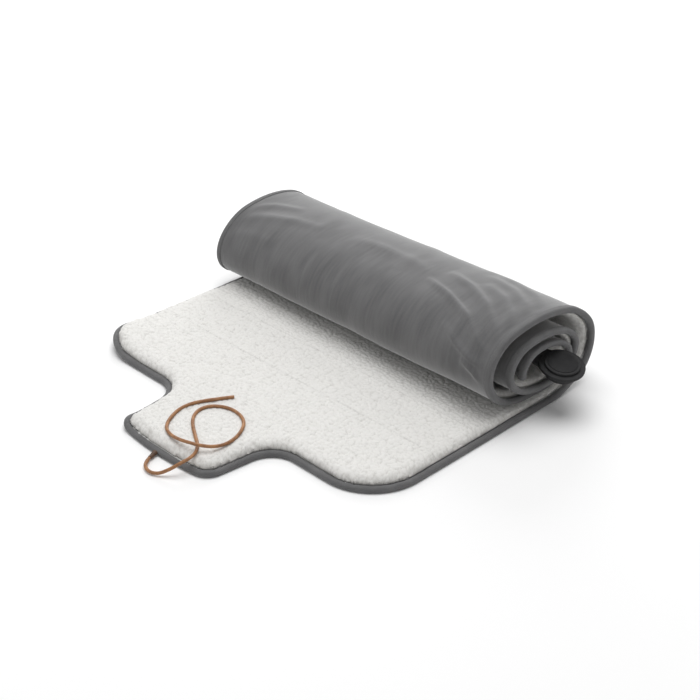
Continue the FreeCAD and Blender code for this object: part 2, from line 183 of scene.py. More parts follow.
def lifted(x, y):
    """How far the flat part stands off the floor at its corners, in millimetres."""
    height = np.zeros(np.broadcast(x, y).shape)
    for (px, py), reach, rise in LIFTS:
        near = np.clip(1 - np.hypot(x - px, y - py) / reach, 0, 1)
        height = height + rise * near * near * (3 - 2 * near)
    return height


def mat_point(u, s, t):
    """A point of the mat: u across it, s along its outer face from the roll's start, t above that face."""
    u, s, t = np.broadcast_arrays(np.asarray(u, float), np.asarray(s, float), np.asarray(t, float))
    y, z = on_path(ROLL, s, t)
    toward_pod = (u + HALF) / WIDTH
    deep, tall, back, up, lean = (FAR_END[k] + (POD_END[k] - FAR_END[k]) * toward_pod for k in FAR_END)
    free = smooth(s, 70, 150) * smooth(z, 4, 24)
    new_y = ROLL_MIDDLE_Y + (y - ROLL_MIDDLE_Y) * deep + back + lean * (z - ROLL_MIDDLE_Z)
    new_z = FLOOR_LAYER + (z - FLOOR_LAYER) * tall + up
    y, z = y + free * (new_y - y), z + free * (new_z - z)
    inner = smooth(s, INNER_TURNS["from"], INNER_TURNS["to"])
    middle = INNER_TURNS["middle"]
    y = y + inner * (INNER_TURNS["back"] + (y - middle) * (INNER_TURNS["narrower"] - 1))
    y = y + CORE_BACK * smooth(s, *CORE_RUN)
    z = z + inner * np.maximum(z - FLOOR_LAYER, 0) * (INNER_TURNS["lower"] - 1)
    z = z + lifted(u, y) * (s < 40)
    drift = -SKEW * smooth(s, *SKEW_RUN) * (1 - SKEW_RETURN * smooth(s, *SKEW_RETURN_RUN))
    wander = WANDER * np.sin(s / WANDER_LENGTH + 1.0) * smooth(s, 120, 300)
    return np.stack([u + drift + wander, y, z], -1)


def flat_outline():
    lean = math.radians(TAB["lean"])
    bow = math.radians(TAB["bow"])
    rises = TAB["end"] * (1 - math.cos(bow)) + TAB["corner"] * (math.cos(bow) - math.cos(lean))
    rises += TAB["notch"] * (1 - math.cos(lean))
    side = (TAB["length"] - rises) / math.sin(lean)
    half_tab = TAB["end"] * math.sin(bow) + TAB["corner"] * (math.sin(lean) - math.sin(bow))
    half_tab += side * math.cos(lean) + TAB["notch"] * math.sin(lean)
    straight = HALF - CORNER_R - half_tab
    down = FLAT_SPLITS[0] - (FRONT_Y + CORNER_R)
    turn = TAB["lean"] - TAB["bow"]
    return [
        run(down), bend(CORNER_R, 90), run(straight + TAB["centre"]),
        bend(TAB["notch"], -TAB["lean"]), run(side), bend(TAB["corner"], turn),
        bend(TAB["end"], 2 * TAB["bow"]),
        bend(TAB["corner"], turn), run(side), bend(TAB["notch"], -TAB["lean"]),
        run(straight - TAB["centre"]), bend(CORNER_R, 90), run(down),
    ]


OUTLINE = walk(flat_outline(), (-HALF, FLAT_SPLITS[0]), -90.0)
OUTLINE_LENGTH = OUTLINE[-1][6] + OUTLINE[-1][7]


# ---- noise that repeats the same way each run ----

def lattice(ix, iy, seed):
    """A number from 0 to 1 for each whole-numbered place."""
    h = (ix.astype(np.int64) * 374761393 + iy.astype(np.int64) * 668265263 + seed * 144665) & 0x7FFFFFFF
    h = ((h ^ (h >> 13)) * 1274126177) & 0x7FFFFFFF
    return ((h ^ (h >> 16)) & 0xFFFF) / 65535.0


def value_noise(x, y, size, seed):
    """Smooth noise from -1 to 1 with lumps of about the given size."""
    x = np.asarray(x, float) / size
    y = np.asarray(y, float) / size
    ix, iy = np.floor(x), np.floor(y)
    fx, fy = smooth(x - ix, 0, 1), smooth(y - iy, 0, 1)
    low = lattice(ix, iy, seed) * (1 - fx) + lattice(ix + 1, iy, seed) * fx
    high = lattice(ix, iy + 1, seed) * (1 - fx) + lattice(ix + 1, iy + 1, seed) * fx
    return (low * (1 - fy) + high * fy) * 2 - 1


def tufts(x, y, size, seed):
    """Rounded lumps packed side by side: height from 0 in the creases to 1, and each lump's own tone."""
    x = np.asarray(x, float)
    y = np.asarray(y, float)
    warp = size * 0.55

    def warped(place, number):
        broad = warp * value_noise(x, y, size * 1.4, seed + number)
        fine = 0.3 * warp * value_noise(x, y, size * 0.6, seed + number + 2)
        return (place + broad + fine) / size

    px, py = warped(x, 1), warped(y, 2)
    ix, iy = np.floor(px), np.floor(py)
    best = np.full(px.shape, 9.0)
    second = np.full(px.shape, 9.0)
    tone = np.zeros(px.shape)
    for dx in (-1, 0, 1):
        for dy in (-1, 0, 1):
            jx, jy = ix + dx, iy + dy
            cx = jx + 0.15 + 0.7 * lattice(jx, jy, seed + 5)
            cy = jy + 0.15 + 0.7 * lattice(jx, jy, seed + 6)
            d = np.hypot(px - cx, py - cy)
            nearer = d < best
            second = np.where(nearer, best, np.minimum(second, d))
            tone = np.where(nearer, lattice(jx, jy, seed + 7), tone)
            best = np.where(nearer, d, best)
    crease = np.clip((second - best) / 0.55, 0, 1)
    dome = np.clip(1 - (best / 0.95) ** 2, 0, 1)
    return 0.55 * np.sqrt(crease) + 0.45 * dome, tone


# The pile's curls: how far across each kind is and how high it stands
CURL = (6.4, 1.7)
SMALL_CURL = (3.1, 0.9)
ROLLING = (34.0, 0.7)


def fleece_height(x, y):
    """How far the curls stand above the pile's mean top, in millimetres, and each curl's painted shade:
    darker toward the creases, where shade falls, mixed with its own random tone.
    """
    big, tone = tufts(x, y, CURL[0], 11)
    small, fine_tone = tufts(x, y, SMALL_CURL[0], 47)
    rolling = value_noise(x, y, ROLLING[0], 5)
    height = CURL[1] * (big - 0.55) + SMALL_CURL[1] * (small - 0.5) + ROLLING[1] * rolling
    # painted shade: the curls' height sets the colour, so creases come out darker as if in shadow; the two
    # tone terms are each curl's own random tone
    painted_shade_and_tone = 0.62 * big + 0.38 * small + 0.12 * (tone - 0.5) + 0.1 * (fine_tone - 0.5)
    return height, painted_shade_and_tone


# ---- meshes ----

def new_piece(name, points, faces, uv=None, painted_shade_and_tone=None, sharp=None):
    """A smooth-shaded mesh object from points in millimetres."""
    mesh = bpy.data.meshes.new(name)
    points = np.asarray(points, float).reshape(-1, 3) * MM
    faces = np.asarray(faces, np.int64)
    mesh.vertices.add(len(points))
    mesh.vertices.foreach_set("co", points.astype(np.float32).ravel())
    sides = faces.shape[1]
    mesh.loops.add(faces.size)
    mesh.loops.foreach_set("vertex_index", faces.ravel().astype(np.int32))
    mesh.polygons.add(len(faces))
    mesh.polygons.foreach_set("loop_start", np.arange(0, faces.size, sides, dtype=np.int32))
    mesh.polygons.foreach_set("use_smooth", np.ones(len(faces), bool))
    mesh.update(calc_edges=True)
    if uv is not None:
        layer = mesh.uv_layers.new(name="cloth")
        layer.data.foreach_set("uv", (np.asarray(uv, float).reshape(-1, 2) * MM)[faces.ravel()]
                               .astype(np.float32).ravel())
    # the fleece's painted shade and tone, kept as a point attribute for its colour
    if painted_shade_and_tone is not None:
        layer = mesh.attributes.new("painted_shade_and_tone", "FLOAT", "POINT")
        layer.data.foreach_set("value", np.asarray(painted_shade_and_tone, np.float32).ravel())
    mesh.validate()
    if sharp:
        mesh.set_sharp_from_angle(angle=math.radians(sharp))
    piece = bpy.data.objects.new(name, mesh)
    bpy.context.scene.collection.objects.link(piece)
    return piece


def grid_faces(rows, columns, wrap=False, first=0):
    """Quads of a grid stored row by row; wrap joins the last column to the first."""
    r = np.arange(rows - 1)[:, None]
    c = np.arange(columns if wrap else columns - 1)[None, :]
    after = (c + 1) % columns
    near, far = r * columns, (r + 1) * columns
    quads = np.stack([near + c, far + c, far + after, near + after], -1)
    return quads.reshape(-1, 4) + first


def slab_faces(rows, columns):
    """A closed slab: the grid's upper face, its lower face and the wall between them."""
    upper = grid_faces(rows, columns)
    count = rows * columns
    lower = grid_faces(rows, columns)[:, ::-1] + count
    loop = np.concatenate([
        np.arange(columns - 1), np.arange(rows - 1) * columns + columns - 1,
        count - 1 - np.arange(columns - 1), (rows - 1 - np.arange(rows - 1)) * columns])
    after = np.roll(loop, -1)
    wall = np.stack([loop, after, after + count, loop + count], -1)
    return np.concatenate([upper, lower, wall])


def oriented(piece):
    """Turn every face outwards."""
    import bmesh
    bm = bmesh.new()
    bm.from_mesh(piece.data)
    bmesh.ops.recalc_face_normals(bm, faces=bm.faces)
    bm.to_mesh(piece.data)
    bm.free()
    return piece


def mat_slab(name, us, ss, outer, inner, painted_shade_and_tone=None, sharp=50):
    """A layer of the mat between heights outer(u, s) and inner(u, s), over grids of u and s."""
    u, s = np.meshgrid(us, ss)
    low = mat_point(u, s, outer(u, s)).reshape(-1, 3)
    high = mat_point(u, s, inner(u, s)).reshape(-1, 3)
    points = np.concatenate([low, high])
    cloth = np.stack([u.ravel(), s.ravel()], -1)
    cloth = np.concatenate([cloth, cloth])
    tones = None if painted_shade_and_tone is None else np.tile(painted_shade_and_tone(u, s).ravel(), 2)
    return oriented(new_piece(name, points, slab_faces(len(ss), len(us)), cloth, tones, sharp))


def level(height):
    """One height all over a layer."""
    return lambda u, s: 0 * u + height


def steps(low, high, step):
    return np.linspace(low, high, max(2, int(round(abs(high - low) / step)) + 1))


# ---- the outer cover, with the folds that rolling leaves in it ----

def crest(u, s, points, width, height):
    """A soft ridge along a line of (u, s) points, fading at both ends."""
    points = np.array(points, float)
    lengths = np.hypot(*np.diff(points, axis=0).T)
    total = lengths.sum()
    nearest = np.full(u.shape, 1e9)
    where = np.zeros(u.shape)
    along = 0.0
    for (p, q), length in zip(zip(points, points[1:]), lengths):
        d = (q - p) / length
        run_in = np.clip((u - p[0]) * d[0] + (s - p[1]) * d[1], 0, length)
        gap = np.hypot(u - p[0] - run_in * d[0], s - p[1] - run_in * d[1])
        closer = gap < nearest
        nearest = np.where(closer, gap, nearest)
        where = np.where(closer, (along + run_in) / total, where)
        along += length
    fade = np.sin(np.pi * np.clip(where, 0, 1)) ** 0.6
    ridge = np.exp(-(nearest / width) ** 2)
    return height * fade * ridge


# Each fold: its line over the cover as (across, along), half-width and height
COVER_FOLDS = [
    ([(237, 386), (214, 378), (178, 358), (130, 342), (84, 332)], 4.2, 3.8),
    ([(238, 372), (212, 352), (180, 332), (142, 316), (95, 306)], 6.0, 3.4),
    ([(237, 400), (214, 398), (186, 388), (156, 374)], 3.6, 3.0),
    ([(238, 352), (215, 330), (188, 312), (150, 298)], 7.0, 2.6),
    ([(234, 420), (222, 410), (200, 402)], 3.2, 2.4),
    ([(240, 330), (216, 306), (180, 288), (130, 276)], 8.0, 2.2),
    ([(236, 300), (205, 276), (165, 262), (110, 256)], 9.0, 1.8),
    ([(-236, 372), (-205, 356), (-160, 340), (-110, 330)], 8.0, 1.9),
    ([(-238, 350), (-212, 330), (-170, 312)], 7.0, 1.8),
    ([(-60, 322), (-10, 316), (50, 318), (90, 326)], 9.0, 1.6),
    ([(-236, 392), (-200, 384), (-150, 380)], 6.0, 1.5),
    ([(-150, 250), (-120, 300), (-104, 350)], 12.0, 1.3),
    ([(10, 236), (34, 290), (44, 340)], 12.0, 1.2),
    ([(236, 150), (214, 190), (206, 240)], 8.0, 1.6),
    ([(238, 118), (222, 150), (216, 184)], 5.0, 1.8),
]


def cover_relief(u, s):
    """Height of the cover's folds and its slack, outwards, in millimetres."""
    relief = np.zeros(u.shape)
    for line, width, height in COVER_FOLDS:
        relief += crest(u, s, line, width, height)
    relief += 0.9 * value_noise(u, s, 90.0, 21) + 0.35 * value_noise(u, s * 0.5, 30.0, 22)
    edge = np.minimum(HALF - 11 - np.abs(u), 12) / 12
    return relief * smooth(edge, 0, 1) * smooth(s, 60, 110)


COVER_INSET = 7.0  # the cover's cut edge, under the tape
COVER_CELL = 2.6
COVER_THICK = 1.4
FIRST_TURN = ROLL[10][6]  # distance along the section at which the outer turn closes


def make_cover():
    side = HALF - COVER_INSET
    outer = mat_slab("cover_outer_turn", steps(-side, side, COVER_CELL),
                     steps(ROLL_PIECES_START, FIRST_TURN, COVER_CELL),
                     lambda u, s: -cover_relief(u, s), lambda u, s: COVER_THICK - cover_relief(u, s))
    inner_us = np.concatenate([steps(-side, -HALF + 40, 6), steps(-HALF + 60, HALF - 60, 40),
                               steps(HALF - 40, side, 6)])
    inner = mat_slab("cover_inner_turns", inner_us, steps(FIRST_TURN, ROLL_LENGTH - 11, 4),
                     level(0.0), level(COVER_THICK - 0.2))
    return outer, inner


# ---- the flat part's fleece, cut to the mat's outline ----

def outline_points(step=2.0):
    s = np.linspace(0, OUTLINE_LENGTH, int(OUTLINE_LENGTH / step) + 1)
    x, y = on_path(OUTLINE, s, 0.0)
    return np.stack([x, y], -1)


def inside_distance(x, y):
    """Distance in from the mat's edge, positive inside; the roll's side is open."""
    border = outline_points()
    p, q = border[:-1], border[1:]
    d = q - p
    squares = (d ** 2).sum(1)
    flat = np.stack([x.ravel(), y.ravel()], -1)
    out = np.empty(len(flat))
    for start in range(0, len(flat), 20000):
        part = flat[start:start + 20000]
        rel = part[:, None, :] - p[None]
        run_in = np.clip((rel * d).sum(2) / squares, 0, 1)
        gap = rel - run_in[..., None] * d
        distance = np.hypot(gap[..., 0], gap[..., 1])
        nearest = distance.argmin(1)
        rows = np.arange(len(part))
        near = rel[rows, nearest]
        side = d[nearest, 0] * near[:, 1] - d[nearest, 1] * near[:, 0]
        out[start:start + 20000] = np.where(side >= 0, 1, -1) * distance[rows, nearest]
    return out.reshape(x.shape)


def fleece_edge(x, y, inset):
    """How full the pile is, 0 to 1: it falls away in a round, uneven shoulder at the tape."""
    ragged = 1.3 * value_noise(x, y, 5.2, 71) + 0.5 * value_noise(x, y, 2.4, 72)
    across = np.clip((inset + ragged - RIM_START) / RIM_WIDTH, 0, 1)
    return np.sqrt(1 - (1 - across) ** 2)


def cut_slab(name, high_y, low_y, cell, least_inset, upper, lower, tone=None):
    """A flat layer between two lines across the mat, closed underneath and cut to the mat's outline.

    upper and tone are worked out from x, y and the distance in from the edge; lower is one height.
    """
    x, y = np.meshgrid(steps(-HALF + 2, HALF - 2, cell), steps(high_y, low_y, cell))
    inset = inside_distance(x, y)
    top = upper(x, y, inset)
    keep = inset > least_inset
    rows, columns = x.shape
    faces = grid_faces(rows, columns)
    faces = faces[keep.ravel()[faces].all(1)]
    used = np.unique(faces)
    number = np.full(rows * columns, -1)
    number[used] = np.arange(len(used))
    faces = number[faces]
    count = len(used)
    flat = np.stack([x.ravel(), y.ravel()], -1)[used]
    rise = lifted(*flat.T)
    above = np.column_stack([flat, top.ravel()[used] + rise])
    below = np.column_stack([flat, lower + rise])
    edges = np.concatenate([faces[:, [i, (i + 1) % 4]] for i in range(4)])
    keys = edges[:, 0] * count + edges[:, 1]
    border = edges[~np.isin(keys, edges[:, 1] * count + edges[:, 0])]
    wall = np.stack([border[:, 1], border[:, 0], border[:, 0] + count, border[:, 1] + count], -1)
    everything = np.concatenate([faces, faces[:, ::-1] + count, wall])
    tones = None if tone is None else np.tile(tone(x, y, inset).ravel()[used], 2)
    piece = new_piece(name, np.concatenate([above, below]), everything, np.tile(flat, (2, 1)), tones,
                      50 if tone is None else None)
    piece.data.polygons.foreach_set("use_smooth", np.arange(len(everything)) < 2 * len(faces))
    return oriented(piece)


PILE_LIP = 0.4
PRESSED_FROM = (-66.0, -28.0)  # over this run toward the roll the pile is pressed down
PRESSED_CURLS = 0.75  # how much of their height the curls keep inside the roll
# painted shade at the rim: the share of the curls' brightness kept where the pile meets the tape
RIM_PAINTED_SHADE = 0.45
FLEECE_CELL = 1.25
ROLLED_CELL = 1.7


def fleece_top(x, y, inset):
    mean_top = PILE_TOP + (PILE_ROLLED - PILE_TOP) * smooth(y, *PRESSED_FROM)
    foot = PILE_FOOT + PILE_LIP
    return foot + fleece_edge(x, y, inset) * (mean_top - foot + fleece_height(x, y)[0])


def fleece_painted_shade_and_tone(x, y, inset):
    """The painted shade and tone of each curl, with more painted shade where the pile thins into the groove
    at its rim.
    """
    return fleece_height(x, y)[1] * (RIM_PAINTED_SHADE + (1 - RIM_PAINTED_SHADE) * fleece_edge(x, y, inset))


def make_flat_fleece():
    names = ("fleece_near_roll", "fleece_middle", "fleece_front")
    return [cut_slab(name, FLAT_SPLITS[i], FLAT_SPLITS[i + 1], FLEECE_CELL, 8.0, fleece_top, PILE_FOOT,
                     fleece_painted_shade_and_tone)
            for i, name in enumerate(names)]


def make_rolled_fleece():
    """Inside the roll only the ends show, so the grid is fine there and coarse between them."""
    rim = HALF - 9
    left, right = steps(-rim, -rim + 44, ROLLED_CELL), steps(rim - 62, rim, ROLLED_CELL)
    us = np.concatenate([left, steps(-rim + 52, rim - 70, 24), right])

    def top(u, s):
        height, _ = fleece_height(u, s)
        edge = fleece_edge(u, s, HALF - np.abs(u))
        return PILE_FOOT + edge * (PILE_ROLLED - PILE_FOOT + PRESSED_CURLS * height)

    return mat_slab("fleece_rolled", us, steps(FLAT_SPLITS[0] - ROLL_START_Y, ROLL_LENGTH - 8, ROLLED_CELL),
                    level(PILE_FOOT), top, painted_shade_and_tone=lambda u, s: fleece_painted_shade_and_tone(u, s, HALF - np.abs(u)), sharp=None)


# ---- the edge tape, folded over the mat's rim ----

# Its section as (inset from the edge, height): round the outside, then back along the inside
TAPE_SECTION = [
    (9.4, 0.3), (8.0, 0.0), (5.0, 0.0), (3.2, 0.1), (2.0, 0.6), (1.3, 1.6), (1.1, 3.0), (1.3, 4.5),
    (2.0, 5.8), (3.2, 6.6), (4.8, 6.9), (6.3, 6.7), (7.3, 6.2), (7.9, 5.6), (8.6, 5.9), (9.4, 5.5),
    (9.0, 5.0), (6.0, 5.7), (3.4, 5.5), (2.5, 4.3), (2.2, 3.0), (2.9, 1.6), (5.0, 1.1), (9.0, 1.1),
]


def tape_profile(path, across):
    """The tape's section at each distance along its edge, with puckers and slack."""
    inset = np.array([p[0] for p in TAPE_SECTION])[None, :]
    height = np.array([p[1] for p in TAPE_SECTION])[None, :]
    along = path[:, None]
    raised = smooth(height, 1.0, 8.0)
    pucker = 0.32 * value_noise(along, across, 3.4, 31) + 0.22 * value_noise(along, across, 7.5, 32)
    slack = 0.9 * value_noise(along, across, 62.0, 33)
    plump = 1 + 0.06 * value_noise(along, across, 23.0, 34)
    near_stitch = np.exp(-((inset - SEAM_INSET) / 1.4) ** 2)
    new_inset = inset + (pucker * 0.6 + slack * 0.35) * (1 - near_stitch) * raised
    new_height = height * (1 + (plump - 1) * raised) + pucker * raised + 0.45 * slack * raised
    return new_inset, new_height


def tape_uv(path):
    section = np.array(TAPE_SECTION + TAPE_SECTION[:1])
    around = np.concatenate([[0], np.cumsum(np.hypot(*np.diff(section, axis=0).T))])[:-1]
    along, round_it = np.meshgrid(path, around, indexing="ij")
    return np.stack([along.ravel(), round_it.ravel()], -1)


def capped_tube(name, rings, uv):
    """A closed tube through rings of points, one ring after another."""
    count, size = rings.shape[:2]
    points = rings.reshape(-1, 3)
    faces = grid_faces(count, size, wrap=True)
    caps = []
    for ring in (0, count - 1):
        centre = len(points) + len(caps)
        caps.append(rings[ring].mean(0))
        i = np.arange(size) + ring * size
        j = np.roll(i, -1)
        ends = np.stack([i, j, np.full(size, centre), np.full(size, centre)], -1)
        faces = np.concatenate([faces, ends])
    points = np.concatenate([points, caps])
    uv = np.concatenate([uv, np.zeros((2, 2))])
    mesh_faces = [tuple(dict.fromkeys(face)) for face in faces.tolist()]
    mesh = bpy.data.meshes.new(name)
    mesh.from_pydata((points * MM).tolist(), [], mesh_faces)
    for polygon in mesh.polygons:
        polygon.use_smooth = True
    layer = mesh.uv_layers.new(name="cloth")
    for loop in mesh.loops:
        layer.data[loop.index].uv = uv[loop.vertex_index] * MM
    mesh.set_sharp_from_angle(angle=math.radians(70))
    piece = bpy.data.objects.new(name, mesh)
    bpy.context.scene.collection.objects.link(piece)
    return oriented(piece)


def joined(name, pieces):
    bpy.ops.object.select_all(action="DESELECT")
    for piece in pieces:
        piece.select_set(True)
    bpy.context.view_layer.objects.active = pieces[0]
    bpy.ops.object.join()
    pieces[0].name = name
    pieces[0].data.name = name
    return pieces[0]


def tab_thinning(y):
    """The tape is pressed thinner at the tab's end."""
    return 1 - 0.22 * smooth(-y, 326, 338)


def flat_tape(name, s0, s1):
    """Tape along the flat outline from one distance to another."""
    path = steps(s0, s1, 1.5)
    inset, height = tape_profile(path, 0.0)
    s = np.broadcast_to(path[:, None], inset.shape)
    x, y = on_path(OUTLINE, s, inset)
    height = np.maximum(height, 0) * tab_thinning(y) + lifted(x, y)
    return capped_tube(name, np.stack([x, y, height], -1), tape_uv(path))


def side_tape(name, side, s0, s1):
    """Tape along one side edge of the rolled part."""
    path = steps(s0, s1, 2.0)
    inset, height = tape_profile(path, 100.0 * side)
    u = side * (HALF - inset)
    s = np.broadcast_to(path[:, None], u.shape)
    proud = TAPE_PROUD * (1 - smooth(height, 0.5, 4.0)) * smooth(s, 70, 120)
    return capped_tube(name, mat_point(u, s, height - proud), tape_uv(path))


def end_tape(name):
    """Tape over the mat's far end, in the core of the roll."""
    path = steps(-HALF + 6, HALF - 6, 4)
    inset, height = tape_profile(path, 300.0)
    s = ROLL_LENGTH - inset
    u = np.broadcast_to(path[:, None], s.shape)
    return capped_tube(name, mat_point(u, s, height), tape_uv(path))


def outline_at(y):
    """Distance along the flat outline's left side at which it passes y."""
    return FLAT_SPLITS[0] - y


def make_tape():
    """One piece for the roll, one for each part of the flat end."""
    sides = [side_tape("tape_side_%d" % i, side, ROLL_PIECES_START, ROLL_LENGTH)
             for i, side in enumerate((-1, 1))]
    pieces = [joined("tape_rolled", sides + [end_tape("tape_end")])]
    for i, name in enumerate(("tape_near_roll", "tape_middle")):
        near, far = outline_at(FLAT_SPLITS[i]), outline_at(FLAT_SPLITS[i + 1])
        both = [flat_tape(name + "_left", near, far),
                flat_tape(name + "_right", OUTLINE_LENGTH - far, OUTLINE_LENGTH - near)]
        pieces.append(joined(name, both))
    start = outline_at(FLAT_SPLITS[2])
    pieces.append(flat_tape("tape_front", start, OUTLINE_LENGTH - start))
    return pieces


# ---- what is inside the mat: wadding, heating film and its bus bars ----

# Each layer's lower and upper height, how far in from the edge it stops, and its mesh's cell
INNER_LAYERS = {
    "wadding": (1.5, 5.6, 3.0, 7.0),
    "heater_film": (5.8, 6.3, 20.0, 9.0),
}
BUS_BAR_X = 215.0
BUS_BAR_HALF = 4.0
BUS_BAR_HEIGHTS = (6.4, 6.6)


def make_inner_layers():
    """Each layer as four pieces that follow the roll and the three flat panels."""
    made = {}
    for layer, (low, high, inset, cell) in INNER_LAYERS.items():
        pieces = [mat_slab(layer + "_rolled", steps(-HALF + inset, HALF - inset, 24),
                           steps(ROLL_PIECES_START, ROLL_LENGTH - 12, 4), level(low), level(high))]
        for i, part in enumerate(("near_roll", "middle", "front")):
            low_y = FLAT_SPLITS[i + 1]
            if layer == "heater_film":
                low_y = max(low_y, FRONT_Y + inset)
            pieces.append(cut_slab(layer + "_" + part, FLAT_SPLITS[i], low_y, cell, inset,
                                   lambda x, y, d: 0 * x + high, low))
        made[layer] = pieces
    bars = []
    for part, s0, s1 in (("rolled", ROLL_PIECES_START, ROLL_LENGTH - 14),
                         ("near_roll", ROLL_PIECES_START, FLAT_SPLITS[1] - ROLL_START_Y),
                         ("middle", FLAT_SPLITS[1] - ROLL_START_Y, FLAT_SPLITS[2] - ROLL_START_Y),
                         ("front", FLAT_SPLITS[2] - ROLL_START_Y, FRONT_Y + 50 - ROLL_START_Y)):
        both = []
        for side in (-1, 1):
            across = steps(side * BUS_BAR_X - BUS_BAR_HALF, side * BUS_BAR_X + BUS_BAR_HALF, 4)
            both.append(mat_slab("bar_%d" % side, across, steps(s0, s1, 4), *map(level, BUS_BAR_HEIGHTS)))
        bars.append(joined("bus_bars_" + part, both))
    made["bus_bars"] = bars
    return made


def make_flat_cover():
    names = ("cover_near_roll", "cover_middle", "cover_front")
    return [cut_slab(name, FLAT_SPLITS[i], FLAT_SPLITS[i + 1], 2.0, 5.0, lambda x, y, d: 0 * x + 1.3, 0.1)
            for i, name in enumerate(names)]


# ---- stitches, placed by a Geometry Nodes tree along a line ----

STITCH_PITCH = 3.3
STITCH_LENGTH = 2.4
STITCH_THICK = 0.62
SEAM_INSET = 8.0
SEAM_HEIGHT = 5.8


def stitch_tree():
    """Short threads set along a curve: length of each, thickness and pitch are the tree's inputs."""
    tree = bpy.data.node_groups.new("stitch_line", "GeometryNodeTree")
    face = tree.interface
    face.new_socket("Geometry", in_out="INPUT", socket_type="NodeSocketGeometry")
    for name, value in (("Pitch", STITCH_PITCH), ("Length", STITCH_LENGTH), ("Thickness", STITCH_THICK)):
        socket = face.new_socket(name, in_out="INPUT", socket_type="NodeSocketFloat")
        socket.default_value = value * MM
    face.new_socket("Thread", in_out="INPUT", socket_type="NodeSocketMaterial")
    face.new_socket("Geometry", in_out="OUTPUT", socket_type="NodeSocketGeometry")
    node = tree.nodes.new
    link = tree.links.new
    given, result = node("NodeGroupInput"), node("NodeGroupOutput")
    points = node("GeometryNodeCurveToPoints")
    points.mode = "LENGTH"
    thread = node("GeometryNodeMeshIcoSphere")
    thread.inputs["Radius"].default_value = 0.5
    thread.inputs["Subdivisions"].default_value = 2
    size = node("ShaderNodeCombineXYZ")
    placed = node("GeometryNodeInstanceOnPoints")
    real = node("GeometryNodeRealizeInstances")
    smooth_faces = node("GeometryNodeSetShadeSmooth")
    colour = node("GeometryNodeSetMaterial")
    link(given.outputs["Geometry"], points.inputs["Curve"])
    link(given.outputs["Pitch"], points.inputs["Length"])
    link(points.outputs["Points"], placed.inputs["Points"])
    link(points.outputs["Rotation"], placed.inputs["Rotation"])
    link(thread.outputs["Mesh"], placed.inputs["Instance"])
    link(given.outputs["Thickness"], size.inputs["X"])
    link(given.outputs["Thickness"], size.inputs["Y"])
    link(given.outputs["Length"], size.inputs["Z"])
    link(size.outputs["Vector"], placed.inputs["Scale"])
    link(placed.outputs["Instances"], real.inputs["Geometry"])
    link(real.outputs["Geometry"], smooth_faces.inputs["Geometry"])
    link(smooth_faces.outputs["Geometry"], colour.inputs["Geometry"])
    link(given.outputs["Thread"], colour.inputs["Material"])
    link(colour.outputs["Geometry"], result.inputs["Geometry"])
    return tree


def poly_line(name, lines):
    curve = bpy.data.curves.new(name, "CURVE")
    curve.dimensions = "3D"
    for line in lines:
        spline = curve.splines.new("POLY")
        spline.points.add(len(line) - 1)
        for point, place in zip(spline.points, line):
            point.co = (*(np.array(place) * MM), 1)
    carrier = bpy.data.objects.new(name, curve)
    bpy.context.scene.collection.objects.link(carrier)
    return carrier


def plain_mesh(carrier, name):
    """The evaluated result as a mesh of its own, and the carrier removed."""
    bpy.context.view_layer.update()
    graph = bpy.context.evaluated_depsgraph_get()
    mesh = bpy.data.meshes.new_from_object(carrier.evaluated_get(graph), depsgraph=graph)
    mesh.name = name
    bpy.data.objects.remove(carrier)
    piece = bpy.data.objects.new(name, mesh)
    bpy.context.scene.collection.objects.link(piece)
    return piece


def stitched(name, lines, tree, thread):
    carrier = poly_line(name + "_line", lines)
    modifier = carrier.modifiers.new("stitches", "NODES")
    modifier.node_group = tree
    for item in tree.interface.items_tree:
        if item.item_type == "SOCKET" and item.in_out == "INPUT" and item.name == "Thread":
            modifier[item.identifier] = thread
    return plain_mesh(carrier, name)


def flat_seam(s0, s1):
    path = steps(s0, s1, 1.5)
    x, y = on_path(OUTLINE, path, SEAM_INSET)
    return np.stack([x, y, SEAM_HEIGHT * tab_thinning(y) + lifted(x, y)], -1)


def rolled_seam(side, height):
    path = steps(ROLL_PIECES_START + 1, ROLL_LENGTH - 10, 2.0)
    rise = height
    if height < 2:
        path = path[path > 62]
        rise = height - TAPE_PROUD * smooth(path, 70, 120)
    return mat_point(side * (HALF - SEAM_INSET) + 0 * path, path, rise + 0 * path)


def make_stitches(thread):
    tree = stitch_tree()
    rolled = [rolled_seam(side, height) for side in (-1, 1) for height in (SEAM_HEIGHT, 0.1)]
    pieces = [stitched("stitches_rolled", rolled, tree, thread)]
    for i, name in enumerate(("stitches_near_roll", "stitches_middle")):
        near, far = outline_at(FLAT_SPLITS[i]) + 1.6, outline_at(FLAT_SPLITS[i + 1]) - 1.6
        lines = [flat_seam(near, far), flat_seam(OUTLINE_LENGTH - far, OUTLINE_LENGTH - near)]
        pieces.append(stitched(name, lines, tree, thread))
    start = outline_at(FLAT_SPLITS[2]) + 1.6
    pieces.append(stitched("stitches_front", [flat_seam(start, OUTLINE_LENGTH - start)], tree, thread))
    return pieces


# ---- the leather tie cord ----

